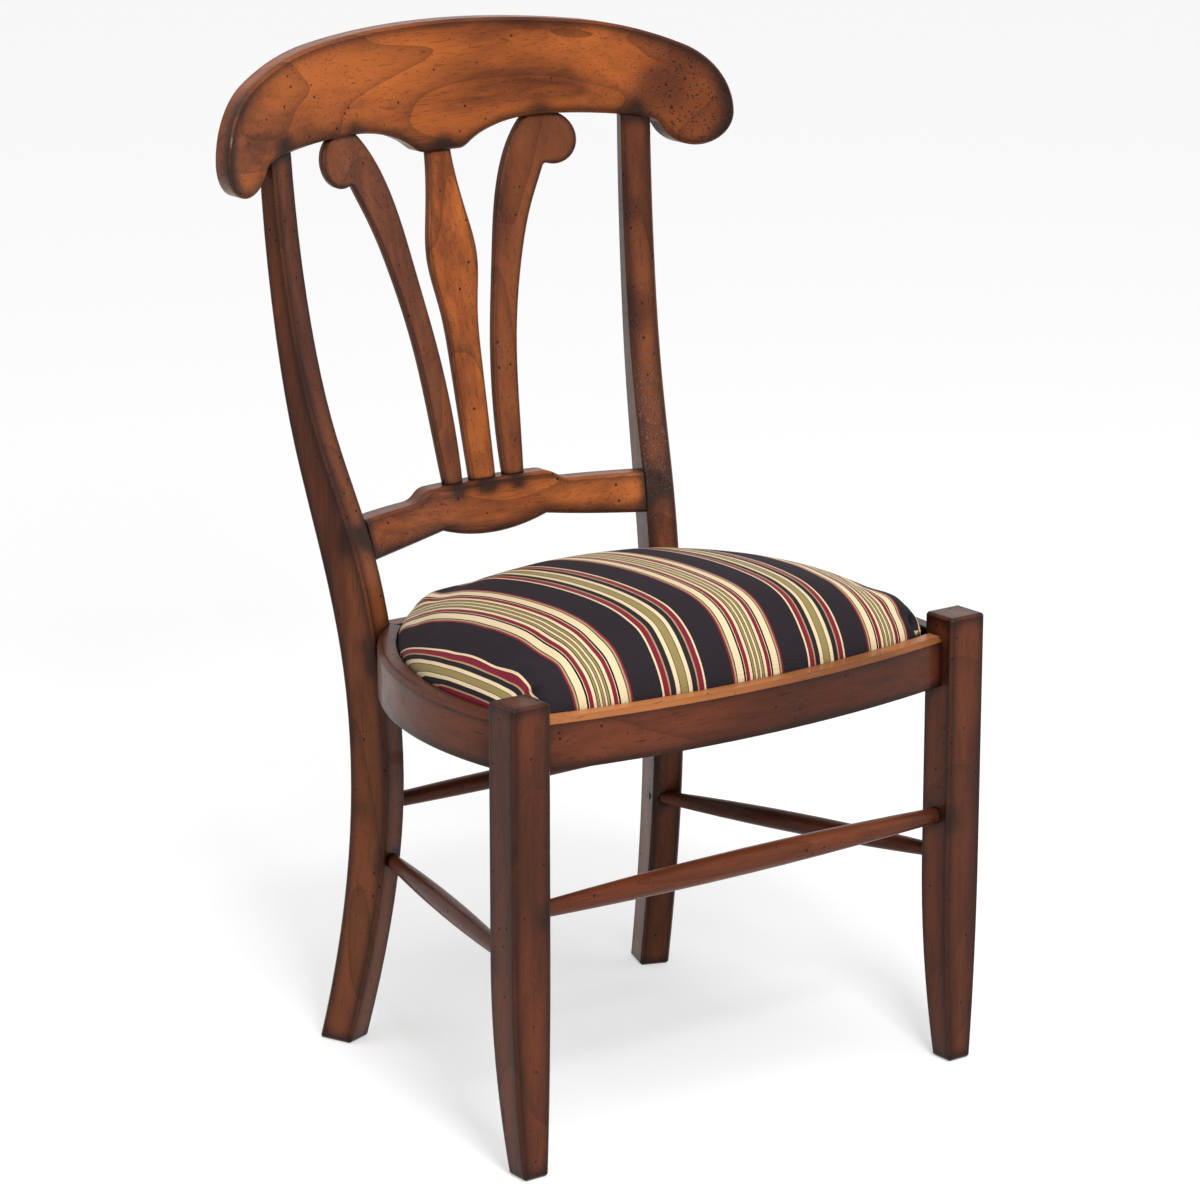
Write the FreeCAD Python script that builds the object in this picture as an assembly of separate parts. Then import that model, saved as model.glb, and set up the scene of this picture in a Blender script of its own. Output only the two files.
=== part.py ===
import FreeCAD, Part
import math
import os

V = FreeCAD.Vector
UP = V(0, 0, 1)

# Sizes in millimetres. The chair faces -Y; y = 0 is the front face of the front legs while it is drawn.

# Front legs
leg_height = 445.0
leg_width = 42.0
leg_depth = 39.0
leg_outside = 552.0
leg_foot_width = 27.0
leg_foot_depth = 26.0
leg_foot_tuck = 9.0
leg_taper_height = 205.0
leg_kick = 3.0
leg_edge = 2.5

# Rear posts: sawn from plank, turned inwards to follow the bowed back
post_yaw = 20.5
post_inside = 304.0
post_set_back = 352.3
post_thickness = 30.5
post_foot_sweep = 48.0
post_foot_depth = 37.0
post_seat_depth = 44.0
post_rake = 122.0
post_top_depth = 18.0
post_edge = 2.2

# Shares of the heights and offsets that give the posts their S curve:
# height below the seat, foot sweep; then height above the seat, rake, depth left above the top depth
post_low = ((0.27, 0.39), (0.60, 0.0))
post_seat_rake = 0.069
post_seat_share = 0.92
post_high = ((0.17, 0.279, 1.0), (0.395, 0.604, 0.56), (0.62, 0.824, 0.24), (0.846, 0.95, 0.08))

# Seat rails
rail_top = 425.0
rail_height = 48.0
rail_thickness = 27.0
rail_lip = 18.0
rail_rabbet = 10.0
rail_edge = 4.5
front_rail_reveal = 13.5
front_rail_bow = 25.5
side_rail_reveal = 15.5
side_rail_bow = 37.4
side_rail_post_reveal = 6.0
rear_rail_advance = 10.0

# Crest rail
crest_radius = 566.0
crest_thickness = 23.0
crest_lean = 0.03
crest_proud = 3.5
crest_width = 595.0
crest_top = 976.0
crest_under = 876.0
crest_pendant = 26.5
crest_pendant_half = 20.0
crest_lobe = 33.0
crest_lobe_drop = 38.0
crest_lobe_start = 216.0
crest_end_radius = 75.0
crest_arch_turn = 6.9
crest_shoulder_turn = 25.0
crest_edge = 2.8
# run from pendant to lobe and share of the pendant's drop along the ogee underside
crest_ogee = ((0.065, 0.24), (0.165, 0.66), (0.295, 0.93), (0.5, 1.0),
              (0.745, 0.87), (0.905, 0.68), (0.967, 0.48))

# Lower back rail
back_radius = 440.0
back_thickness = 21.0
back_lean = 0.30
back_set_back = 1.5
back_top = 523.5
back_bottom = 488.5
back_raise = 9.5
back_raise_half = 66.0
back_ogee = 30.0
back_cusp_half = 62.0
back_cusp_rise = 4.5
back_belly = 6.0
back_wing_drop = 0.5
back_edge = 2.5

# Splats between the two back rails
splat_thickness = 9.0
splat_low_set_back = 4.0
splat_high_set_back = 6.5
splat_edge = 2.0
splat_tenon = 14.0
splat_tenon_cheek = 2.0
splat_tenon_shoulder = 4.0
centre_splat_foot = 29.5
centre_splat_stem = 35.5
centre_splat_rise = 42.5
centre_splat_belly = 57.0
centre_splat_shoulder = 46.0
centre_splat_throat = 32.0
centre_splat_neck = 31.0
side_splat_foot_in = 25.0
side_splat_foot = 22.5
side_splat_flare = 76.0
side_splat_head_out = 125.0
side_splat_head_drop = 24.5
side_splat_head = 25.5
side_splat_notch = 245.0
side_splat_notch_radius = 4.0
side_splat_head_end = 80.0

# Shares of the centre splat's height where its stem, rise, belly, shoulder and throat lie
centre_splat_levels = (0.36, 0.52, 0.68, 0.80, 0.93)

# Shares of height and of sideways run along the side splats' two edges
side_splat_inner = ((0.178, 0.008), (0.37, 0.099), (0.60, 0.289), (0.8655, 0.599), (0.94, 0.776))
side_splat_outer = ((0.19, 0.073), (0.45, 0.20), (0.70, 0.455), (0.87, 0.7215), (0.96, 0.915))

# Stretchers
stub_in = 18.0
stub_out = 6.0
front_stretcher_height = 246.5
front_stretcher_mid = 24.5
front_stretcher_end = 15.5
side_stretcher_front_height = 202.0
side_stretcher_rear_height = 193.0
side_stretcher_mid = 20.5
side_stretcher_end = 13.5
rear_stretcher_height = 245.0
rear_stretcher_mid = 18.5
rear_stretcher_end = 14.5

# Tenons and corner blocks
tenon_length = 20.0
tenon_thickness = 10.0
tenon_height = 16.0
tenon_low = 4.0
back_tenon_height = 24.0
crest_tenon_width = 17.0
crest_tenon_thickness = 8.0
crest_tenon_length = 18.0
post_top_tenon_drop = 7.0
block_height = 28.0
block_drop = 2.0
block_front = 62.0
block_rear = 58.0

# Drop-in seat
seat_crown = 73.0
seat_crown_forward = 42.0
seat_dome = 780.0
foam_thickness = 24.0
foam_inset = 22.0
seat_board_thickness = 10.0
seat_cover_thickness = 1.2
seat_cover_margin = 28.0
dust_cover_thickness = 0.6
dust_cover_inset = 14.0
seat_front_corner = 31.0
seat_rear_corner = 16.0
# inset from the rails' lips and share of the crown's height, from the tuck at the rails to the dome
seat_layers = ((0.3, 0.20), (30.0, 0.54), (37.0, 1.0))

# Clearances
fit = 0.1
hole_end = 1.0
glue_gap = 0.25
seat_gap = 1.5
seat_rest_gap = 0.3
cover_ease = 0.4

# Length beyond the chair for cutting tools, and the angle that a side rail is trimmed from
big = 2000.0
side_rail_overrun = 0.2

rail_bottom = rail_top - rail_height
leg_half = leg_outside / 2
leg_inner = leg_half - leg_width
yaw = math.radians(post_yaw)
out = V(math.cos(yaw), -math.sin(yaw), 0)
back = V(math.sin(yaw), math.cos(yaw), 0)
post_origin = V(post_inside / 2, post_set_back, 0)


def polar(centre, radius, angle, z=0.0):
    return V(centre.x + radius * math.cos(angle), centre.y + radius * math.sin(angle), z)


def line(a, b):
    return Part.LineSegment(a, b).toShape()


def arc(a, b, c):
    return Part.Arc(a, b, c).toShape()


def spline(points, start=None, end=None):
    curve = Part.BSplineCurve()
    if start is None:
        curve.interpolate(points)
    else:
        curve.interpolate(Points=points, InitialTangent=start, FinalTangent=end)
    return curve


def face(edges):
    return Part.Face(Part.Wire(Part.__sortEdges__(edges)))


def mirrored(shape):
    return shape.mirror(V(0, 0, 0), V(1, 0, 0))


def bow_circle(a, b, bow):
    """Centre and radius of the arc from a to b that rises by bow to the right of that direction."""
    chord = b - a
    half = chord.Length / 2
    radius = (half * half + bow * bow) / (2 * bow)
    right = V(chord.y, -chord.x, 0).normalize()
    return (a + b) * 0.5 + right * (bow - radius), radius


def sector_wire(centre, r_in, r_out, a0, a1, z):
    mid = (a0 + a1) / 2
    inner = arc(polar(centre, r_in, a0, z), polar(centre, r_in, mid, z), polar(centre, r_in, a1, z))
    outer = arc(polar(centre, r_out, a0, z), polar(centre, r_out, mid, z), polar(centre, r_out, a1, z))
    side_a = line(polar(centre, r_in, a0, z), polar(centre, r_out, a0, z))
    side_b = line(polar(centre, r_in, a1, z), polar(centre, r_out, a1, z))
    return Part.Wire([inner, side_b, outer, side_a])


def sector(centre, r_in, r_out, a0, a1, z, height):
    return Part.Face(sector_wire(centre, r_in, r_out, a0, a1, z)).extrude(UP * height)


def ring(centre, r_in, r_out, z, height):
    place = V(centre.x, centre.y, z)
    return Part.makeCylinder(r_out, height, place).cut(Part.makeCylinder(r_in, height, place))


def eased_edges(shape, size, wanted):
    """Small chamfer on the edges that wanted picks."""
    return shape.makeChamfer(size, [edge for edge in shape.Edges if wanted(edge)])


def upright(edge):
    a = edge.valueAt(edge.FirstParameter)
    b = edge.valueAt(edge.LastParameter)
    return abs(b.z - a.z) > 2 * math.hypot(b.x - a.x, b.y - a.y)


def rod(start, end, diameter, grow=0.0):
    axis = end - start
    return Part.makeCylinder(diameter / 2 + grow, axis.Length, start, axis)


# Rear posts
def post_stations():
    """Height, front edge and depth of the post, from the floor to inside the crest."""
    rows = [(0.0, post_foot_sweep, post_foot_depth)]
    for share, sweep in post_low:
        depth = post_foot_depth + (post_seat_depth - post_foot_depth) * min(1.0, share / post_low[-1][0])
        rows.append((share * rail_top, sweep * post_foot_sweep, depth))
    rows.append((post_seat_share * rail_top, post_seat_rake * post_rake, post_seat_depth))
    for share, rake, fullness in post_high:
        depth = post_top_depth + (post_seat_depth - post_top_depth) * fullness
        rows.append((rail_top + share * (crest_under - rail_top), rake * post_rake, depth))
    rows.append((crest_under, post_rake, post_top_depth))
    return rows


def post_point(v, u, z):
    return post_origin + out * v + back * u + UP * z


stations = post_stations()
front_edge = spline([V(u, z, 0) for z, u, depth in stations])
rear_edge = spline([V(u + depth, z, 0) for z, u, depth in stations])


def edge_at(curve, z):
    """Offset of a post edge at height z."""
    low, high = curve.FirstParameter, curve.LastParameter
    for step in range(50):
        middle = (low + high) / 2
        if curve.value(middle).y < z:
            low = middle
        else:
            high = middle
    return curve.value((low + high) / 2).x


def post_prism(v0, v1, deep=None):
    """The post's side outline between two planes; deep puts its rear edge far behind."""
    z_end = stations[-1][0]
    front = spline([post_point(v0, u, z) for z, u, depth in stations])
    if deep is None:
        rear = spline([post_point(v0, u + depth, z) for z, u, depth in stations])
    else:
        rear = Part.LineSegment(post_point(v0, deep, 0), post_point(v0, deep, z_end))
    edges = [front.toShape(), line(front.EndPoint, rear.EndPoint), rear.toShape(),
             line(rear.StartPoint, front.StartPoint)]
    return face(edges).extrude(out * (v1 - v0))


# Crest and lower back rail share one way of making: a front outline cut from a bowed, leaning slab
post_mid = post_thickness / 2
crest_seat = post_point(post_mid, post_rake, crest_under)
crest_centre_y = crest_seat.y - crest_proud - math.sqrt(crest_radius ** 2 - crest_seat.x ** 2)
back_mid_height = (back_top + back_bottom) / 2
back_seat = post_point(0, edge_at(front_edge, back_mid_height), back_mid_height)
back_centre_y = back_seat.y + back_set_back - math.sqrt(back_radius ** 2 - back_seat.x ** 2)


def bowed_slab(radius, thickness, centre_y, z_ref, lean, z0, z1, half_width):
    """Part of a tube that leans back; its front passes centre_y + radius at the height z_ref."""
    angle = math.asin(half_width / radius)
    slab = sector(V(0, -radius, 0), radius, radius + thickness, math.pi / 2 - angle, math.pi / 2 + angle,
                  z0 - z_ref, z1 - z0)
    slab.rotate(V(0, 0, 0), V(1, 0, 0), -math.degrees(math.atan(lean)))
    slab.translate(V(0, centre_y + radius, z_ref))
    return slab


def outline_prism(right_half):
    """Solid through the whole depth from the edges of an outline's right half, drawn in x and z."""
    edges = []
    for curve in right_half:
        edges.append(curve)
        edges.append(mirrored(curve))
    return face(edges).extrude(V(0, big, 0))


def xz(x, z):
    return V(x, -big / 4, z)


def turning_arc(start, heading, radius, turn):
    """Arc in x and z that sets off along heading and bends clockwise by turn; angles in radians."""
    centre = start + V(math.sin(heading), 0, -math.cos(heading)) * radius

    def at(angle):
        return centre + V(-math.sin(angle), 0, math.cos(angle)) * radius

    return arc(start, at(heading - turn / 2), at(heading - turn)), at(heading - turn)


def crest_outline():
    half = crest_width / 2
    lobe = xz(half - crest_lobe, crest_under - crest_lobe_drop + crest_lobe)
    pendant_z = crest_under - crest_pendant
    start = math.radians(crest_lobe_start)
    lobe_in = lobe + V(math.cos(start), 0, math.sin(start)) * crest_lobe
    lobe_out = lobe + V(crest_lobe, 0, 0)
    run = lobe_in.x - crest_pendant_half
    under = [xz(crest_pendant_half, pendant_z)]
    under += [xz(crest_pendant_half + run * sx, pendant_z + crest_pendant * sz) for sx, sz in crest_ogee]
    under.append(lobe_in)

    # The top is a four-centred arch: flat arc, shoulder arc and end arc meet with common tangents
    arch = math.radians(crest_arch_turn)
    shoulder = math.radians(crest_shoulder_turn)
    width = half - crest_end_radius * (1 - math.sin(shoulder))
    drop = crest_top - lobe.z - crest_end_radius * math.cos(shoulder)
    sine = math.sin(shoulder) - math.sin(arch)
    cosine = math.cos(arch) - math.cos(shoulder)
    rise = 1 - math.cos(arch)
    scale = math.sin(arch) * cosine - rise * sine
    flat_radius = (width * cosine - drop * sine) / scale
    shoulder_radius = (math.sin(arch) * drop - rise * width) / scale
    flat, point = turning_arc(xz(0, crest_top), 0, flat_radius, arch)
    round_off, point = turning_arc(point, -arch, shoulder_radius, shoulder - arch)
    end, point = turning_arc(point, -shoulder, crest_end_radius, math.pi / 2 - shoulder)
    return [
        line(xz(0, pendant_z), under[0]),
        spline(under, V(1, 0, 0), V(-math.sin(start), 0, math.cos(start))).toShape(),
        arc(lobe_in, lobe - V(0, 0, crest_lobe), lobe_out),
        flat, round_off, end,
    ]


def s_curve(a, b):
    """Two arcs from a down to b, level at both ends, in x and z."""
    run, fall = b.x - a.x, a.z - b.z
    radius = (run ** 2 + fall ** 2) / (4 * fall)
    turn = math.asin(run / 2 / radius)
    first, middle = turning_arc(a, 0, radius, turn)
    quarter = V(b.x - radius * math.sin(turn / 2), b.y, b.z + radius * (1 - math.cos(turn / 2)))
    return first, arc(middle, quarter, b)


def back_outline():
    end = post_inside
    raised = back_top + back_raise
    cusp = xz(back_cusp_half, back_bottom + back_cusp_rise)
    sag = back_cusp_rise + back_belly
    belly_radius = (back_cusp_half ** 2 + sag ** 2) / (2 * sag)
    quarter = back_cusp_half / 2
    belly = back_bottom - back_belly
    low = xz(quarter, belly + belly_radius - math.sqrt(belly_radius ** 2 - quarter ** 2))
    wing = xz((back_cusp_half + post_inside / 2) / 2, back_bottom - back_wing_drop)
    fall = s_curve(xz(back_raise_half, raised), xz(back_raise_half + back_ogee, back_top))
    return [
        arc(xz(0, belly), low, cusp),
        arc(cusp, wing, xz(end, cusp.z)),
        line(xz(end, cusp.z), xz(end, back_top)),
        line(xz(end, back_top), xz(back_raise_half + back_ogee, back_top)),
        fall[0], fall[1],
        line(xz(back_raise_half, raised), xz(0, raised)),
    ]


def depthwise(edge):
    """True for the straight edges of an outline prism that run through its depth."""
    return edge.Curve.TypeId == "Part::GeomLine" and abs(edge.tangentAt(edge.FirstParameter).y) > 0.5


def cut_all(shape, tools):
    for tool in tools:
        shape = shape.cut(tool)
    return shape


def half_space(point, normal):
    """Everything on the side of a plane that its normal points to."""
    disc = Part.Face(Part.Wire(Part.makeCircle(big, point, normal)))
    return disc.extrude(normal * big)


def main_solid(shape):
    return max(shape.Solids, key=lambda solid: solid.Volume)


# Mortise and tenon joints
def tenon(place, way, across, size, length, grow=0.0, extra=0.0):
    """Bar along way from inside its own piece to length past place; size is its width and height."""
    width, height = size[0] / 2 + grow, size[1] / 2 + grow
    third = way.cross(across)
    low = place - way * (length / 2)
    corners = [low + across * (x * width) + third * (y * height)
               for x, y in ((-1, -1), (1, -1), (1, 1), (-1, 1))]
    end = Part.Face(Part.makePolygon(corners + corners[:1]))
    return end.extrude(way * (length * 1.5 + extra))


def mortise(joint):
    return tenon(*joint, fit, hole_end)


# Seat rail circles
front_a = V(-leg_inner, front_rail_reveal, 0)
front_b = V(leg_inner, front_rail_reveal, 0)
front_centre, front_radius = bow_circle(front_a, front_b, front_rail_bow)
rail_mid = rail_top - rail_height / 2
side_a = V(leg_half - side_rail_reveal, leg_depth, 0)
side_b = post_point(post_thickness - side_rail_post_reveal, edge_at(front_edge, rail_mid), 0)
side_centre, side_radius = bow_circle(side_a, side_b, side_rail_bow)
post_corner = post_point(0, edge_at(front_edge, rail_mid), 0)
rear_front = post_corner.y - rear_rail_advance
ledge = rail_top - rail_rabbet


rail_tenon = (tenon_thickness, tenon_height)
low_tenon_z = rail_bottom + tenon_low + tenon_height / 2
high_tenon_z = low_tenon_z + tenon_height + tenon_low


def seat_rail_joints():
    """Tenons on the right: front rail, side rail at its front and rear end, rear rail."""
    side_v = (post_thickness - side_rail_post_reveal) / 2
    contact = (rear_front + rail_thickness + post_corner.y) / 2
    rear_u = edge_at(front_edge, rail_mid) + (contact - post_corner.y) / math.cos(yaw)
    front = V(leg_inner, front_rail_reveal + rail_thickness / 2, low_tenon_z)
    side_front = V(side_a.x - rail_thickness / 2, leg_depth, high_tenon_z)
    side_rear = post_point(side_v, edge_at(front_edge, high_tenon_z), high_tenon_z)
    rear = post_point(0, rear_u, low_tenon_z)
    return ((front, V(1, 0, 0), V(0, 1, 0), rail_tenon, tenon_length),
            (side_front, V(0, -1, 0), V(1, 0, 0), rail_tenon, tenon_length),
            (side_rear, back, out, rail_tenon, tenon_length),
            (rear, out, back, rail_tenon, tenon_length))


def back_rail_joint():
    """Tenon at the right end of the lower back rail."""
    reach = post_origin - V(0, back_centre_y, 0)
    along = reach.dot(back)
    mid_radius = back_radius + back_thickness / 2
    u = -along + math.sqrt(along ** 2 - reach.dot(reach) + mid_radius ** 2)
    return post_point(0, u, back_mid_height), out, back, (tenon_thickness, back_tenon_height), tenon_length


def crest_joint():
    """Tenon on top of the right post."""
    rise = V(0, crest_lean, 1).normalize()
    place = post_point(post_mid, post_rake + post_top_depth / 2, crest_under - post_top_tenon_drop)
    return place, rise, out, (crest_tenon_width, crest_tenon_thickness), crest_tenon_length


# Stretchers: swelled rods whose ends are plain round stubs in the legs
def stretcher(start, end, mid, tip):
    axis = end - start
    half = axis.Length / 2 - stub_out
    full = axis.Length / 2 + stub_in
    edges = [line(V(-full, 0, 0), V(-full, tip / 2, 0)), line(V(-full, tip / 2, 0), V(-half, tip / 2, 0)),
             arc(V(-half, tip / 2, 0), V(0, mid / 2, 0), V(half, tip / 2, 0)),
             line(V(half, tip / 2, 0), V(full, tip / 2, 0)),
             line(V(full, tip / 2, 0), V(full, 0, 0)), line(V(full, 0, 0), V(-full, 0, 0))]
    body = face(edges).revolve(V(0, 0, 0), V(1, 0, 0), 360)
    body.Placement = FreeCAD.Placement((start + end) * 0.5, FreeCAD.Rotation(V(1, 0, 0), axis))
    return body


def stretcher_bore(start, end, tip):
    axis = (end - start).normalize()
    reach = axis * (stub_in + hole_end)
    return [rod(start - reach, start + reach, tip, fit), rod(end - reach, end + reach, tip, fit)]


leg_mid = V(leg_half - leg_width / 2, leg_depth / 2, 0)
front_run = (V(-leg_inner, leg_mid.y, front_stretcher_height),
             V(leg_inner, leg_mid.y, front_stretcher_height))
side_run = (V(leg_mid.x, leg_depth, side_stretcher_front_height),
            post_point(post_mid, edge_at(front_edge, side_stretcher_rear_height), side_stretcher_rear_height))
rear_u = (edge_at(front_edge, rear_stretcher_height) + edge_at(rear_edge, rear_stretcher_height)) / 2
rear_end = post_point(0, rear_u, rear_stretcher_height)
rear_run = (V(-rear_end.x, rear_end.y, rear_end.z), rear_end)


# Front legs: square above, every face drawn in or swept towards the foot
def eased(top, foot):
    """Edge that starts upright at top and curves away to foot, in the plane they share."""
    drop = top.z - foot.z
    aside = V(foot.x - top.x, foot.y - top.y, 0)
    radius = (drop ** 2 + aside.Length ** 2) / (2 * aside.Length)
    turn = math.asin(drop / radius) / 2
    way = aside.normalize()
    middle = top + way * (radius * (1 - math.cos(turn))) - UP * (radius * math.sin(turn))
    return arc(top, middle, foot)


def front_leg():
    h, t = leg_height, leg_taper_height
    heel = leg_foot_depth - leg_kick
    toe = leg_half - leg_foot_tuck
    inner_toe = toe - leg_foot_width
    side = [line(V(0, 0, h), V(0, 0, t)), eased(V(0, 0, t), V(0, -leg_kick, 0)),
            line(V(0, -leg_kick, 0), V(0, heel, 0)), eased(V(0, leg_depth, t), V(0, heel, 0)),
            line(V(0, leg_depth, t), V(0, leg_depth, h)), line(V(0, leg_depth, h), V(0, 0, h))]
    front = [line(V(leg_half, 0, h), V(leg_half, 0, t)), eased(V(leg_half, 0, t), V(toe, 0, 0)),
             line(V(toe, 0, 0), V(inner_toe, 0, 0)), eased(V(leg_inner, 0, t), V(inner_toe, 0, 0)),
             line(V(leg_inner, 0, t), V(leg_inner, 0, h)), line(V(leg_inner, 0, h), V(leg_half, 0, h))]
    deep = face(side).extrude(V(leg_outside, 0, 0))
    wide = face(front)
    wide.translate(V(0, -leg_depth, 0))
    leg = deep.common(wide.extrude(V(0, 3 * leg_depth, 0)))
    leg = eased_edges(leg, leg_edge, lambda edge: True)
    front_joint, side_joint = seat_rail_joints()[:2]
    holes = [mortise(front_joint), mortise(side_joint)]
    holes += stretcher_bore(*front_run, front_stretcher_end) + stretcher_bore(*side_run, side_stretcher_end)
    return cut_all(leg, holes)


def rear_post():
    post = post_prism(0, post_thickness)
    post = eased_edges(post, post_edge, lambda edge: edge.BoundBox.ZMax < crest_under - 1 or upright(edge))
    post = post.cut(crest_seat_space())
    side_joint, rear_joint = seat_rail_joints()[2:]
    holes = [mortise(side_joint), mortise(rear_joint), mortise(back_rail_joint())]
    holes += stretcher_bore(*side_run, side_stretcher_end) + stretcher_bore(*rear_run, rear_stretcher_end)
    return main_solid(cut_all(post, holes)).fuse(tenon(*crest_joint())).removeSplitter()


# Seat rails
def arch_top(edge, radius, centre):
    box = edge.BoundBox
    point = edge.valueAt((edge.FirstParameter + edge.LastParameter) / 2)
    reach = math.hypot(point.x - centre.x, point.y - centre.y)
    return box.ZMin > rail_top - 0.01 and abs(reach - radius) < 0.01


def front_rail():
    spread = math.asin(leg_half / front_radius)
    a0, a1 = -math.pi / 2 - spread, -math.pi / 2 + spread
    inner = front_radius - rail_thickness
    rail = sector(front_centre, inner, front_radius, a0, a1, rail_bottom, rail_height)
    for sign in (-1, 1):
        rail = rail.cut(half_space(V(sign * leg_inner, 0, 0), V(sign, 0, 0)))
    rail = rail.cut(half_space(V(0, leg_depth, 0), V(0, 1, 0)))
    rail = rail.cut(sector(front_centre, inner - 1, front_radius - rail_lip, a0, a1, ledge, rail_rabbet + 1))
    rail = eased_edges(rail, rail_edge, lambda edge: arch_top(edge, front_radius, front_centre))
    end = tenon(*seat_rail_joints()[0])
    return rail.fuse([end, mirrored(end)]).removeSplitter()


def side_rail():
    reach_a = side_a - side_centre
    reach_b = side_b - side_centre
    a0 = math.atan2(reach_a.y, reach_a.x) - side_rail_overrun
    a1 = math.atan2(reach_b.y, reach_b.x) + side_rail_overrun
    inner = side_radius - rail_thickness
    rail = sector(side_centre, inner, side_radius, a0, a1, rail_bottom, rail_height)
    rail = rail.cut(half_space(V(0, leg_depth, 0), V(0, -1, 0)))
    rail = rail.cut(post_prism(-post_inside / 2, post_inside / 2, post_set_back))
    rail = main_solid(rail.cut(half_space(post_origin, -out)))
    rail = rail.cut(sector(side_centre, inner - 1, side_radius - rail_lip, a0, a1, ledge, rail_rabbet + 1))
    rail = eased_edges(rail, rail_edge, lambda edge: arch_top(edge, side_radius, side_centre))
    front_joint, rear_joint = seat_rail_joints()[1:3]
    return rail.fuse([tenon(*front_joint), tenon(*rear_joint)]).removeSplitter()


def rear_rail():
    length = post_inside * 2
    rail = Part.makeBox(length, rail_thickness, rail_height, V(-post_inside, rear_front, rail_bottom))
    step = Part.makeBox(length, rail_thickness - rail_lip, rail_rabbet, V(-post_inside, rear_front, ledge))
    rail = rail.cut(step)
    end = half_space(post_origin, out)
    rail = rail.cut(end).cut(mirrored(end))
    end = tenon(*seat_rail_joints()[3])
    return rail.fuse([end, mirrored(end)]).removeSplitter()


# Corner blocks, each coped to the rails that it braces
def on_circle_x(centre, radius, y):
    return centre.x + math.sqrt(radius ** 2 - (y - centre.y) ** 2)


def on_circle_y(centre, radius, x):
    return centre.y - math.sqrt(radius ** 2 - (x - centre.x) ** 2)


def block_faces():
    """The sloping face of the front and rear block on the right, as two plan points and the hidden corner."""
    front_in = front_radius - rail_thickness
    side_in = side_radius - rail_thickness
    reach = leg_inner - block_front
    along = leg_depth + block_front
    front = (V(reach, on_circle_y(front_centre, front_in, reach), 0),
             V(on_circle_x(side_centre, side_in, along), along, 0), V(leg_half, leg_depth / 2, 0))
    along = rear_front - block_rear
    rear = (V(on_circle_x(side_centre, side_in, along), along, 0),
            V(post_corner.x - block_rear, rear_front, 0), post_corner)
    return front, rear


block_top = ledge - block_drop


def corner_block(corner):
    a, b, c = corner
    plan = face([line(a, b), line(b, c), line(c, a)])
    plan.translate(UP * (block_top - block_height))
    block = plan.extrude(UP * block_height)
    z, h = rail_bottom, rail_height
    inset = rail_thickness + glue_gap
    around = [Part.makeBox(leg_width + 2 * glue_gap, leg_depth + 2 * glue_gap, h,
                           V(leg_inner - glue_gap, -glue_gap, z)),
              ring(front_centre, front_radius - inset, front_radius + inset, z, h),
              ring(side_centre, side_radius - inset, side_radius + inset, z, h),
              half_space(V(0, rear_front - glue_gap, 0), V(0, 1, 0))]
    return main_solid(cut_all(block, around))


# Back: crest, lower rail and splats
splat_low = back_top + back_raise
splat_high = crest_under - crest_pendant


def crest_body():
    slab = bowed_slab(crest_radius, crest_thickness, crest_centre_y, crest_under, crest_lean,
                      crest_under - 2 * crest_lobe_drop, crest_top + crest_lobe, crest_width / 2 + crest_lobe)
    crest = outline_prism(crest_outline()).common(slab)
    return eased_edges(crest, crest_edge, lambda edge: not depthwise(edge))


def crest_rail():
    seat = mortise(crest_joint())
    return cut_all(crest_body(), [seat, mirrored(seat)] + splat_mortises())


def lower_back_rail():
    slab = bowed_slab(back_radius, back_thickness, back_centre_y, back_mid_height, back_lean,
                      back_bottom - 2 * back_raise, back_top + 2 * back_raise, post_inside - post_thickness)
    rail = outline_prism(back_outline()).common(slab)
    rail = eased_edges(rail, back_edge, lambda edge: not depthwise(edge) and edge.BoundBox.XLength > 1)
    end = half_space(post_origin, out)
    rail = main_solid(rail.cut(end).cut(mirrored(end)))
    end = tenon(*back_rail_joint())
    return cut_all(rail.fuse([end, mirrored(end)]).removeSplitter(), splat_mortises())


def splat_slab(grow=0.0):
    """Bowed, leaning slab that the splats are cut from, its faces moved outwards by grow."""
    low_y = back_centre_y + back_radius + back_lean * (splat_low - back_mid_height) + splat_low_set_back
    high_y = crest_centre_y + crest_radius + crest_lean * (splat_high - crest_under) + splat_high_set_back
    radius = (back_radius + crest_radius) / 2
    lean = (high_y - low_y) / (splat_high - splat_low)
    return bowed_slab(radius - grow, splat_thickness + 2 * grow, low_y - radius, splat_low, lean,
                      splat_low - 2 * splat_tenon, crest_under + 2 * splat_tenon, crest_width / 3)


def centre_splat_prism():
    rise = splat_high - splat_low
    widths = (centre_splat_stem, centre_splat_rise, centre_splat_belly,
              centre_splat_shoulder, centre_splat_throat)
    points = [xz(centre_splat_foot / 2, splat_low)]
    points += [xz(width / 2, splat_low + rise * share) for share, width in zip(centre_splat_levels, widths)]
    top = xz(centre_splat_neck / 2, crest_under)
    edge = spline(points + [top]).toShape()
    return outline_prism([line(xz(0, splat_low), points[0]), edge, line(top, xz(0, crest_under))])


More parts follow.
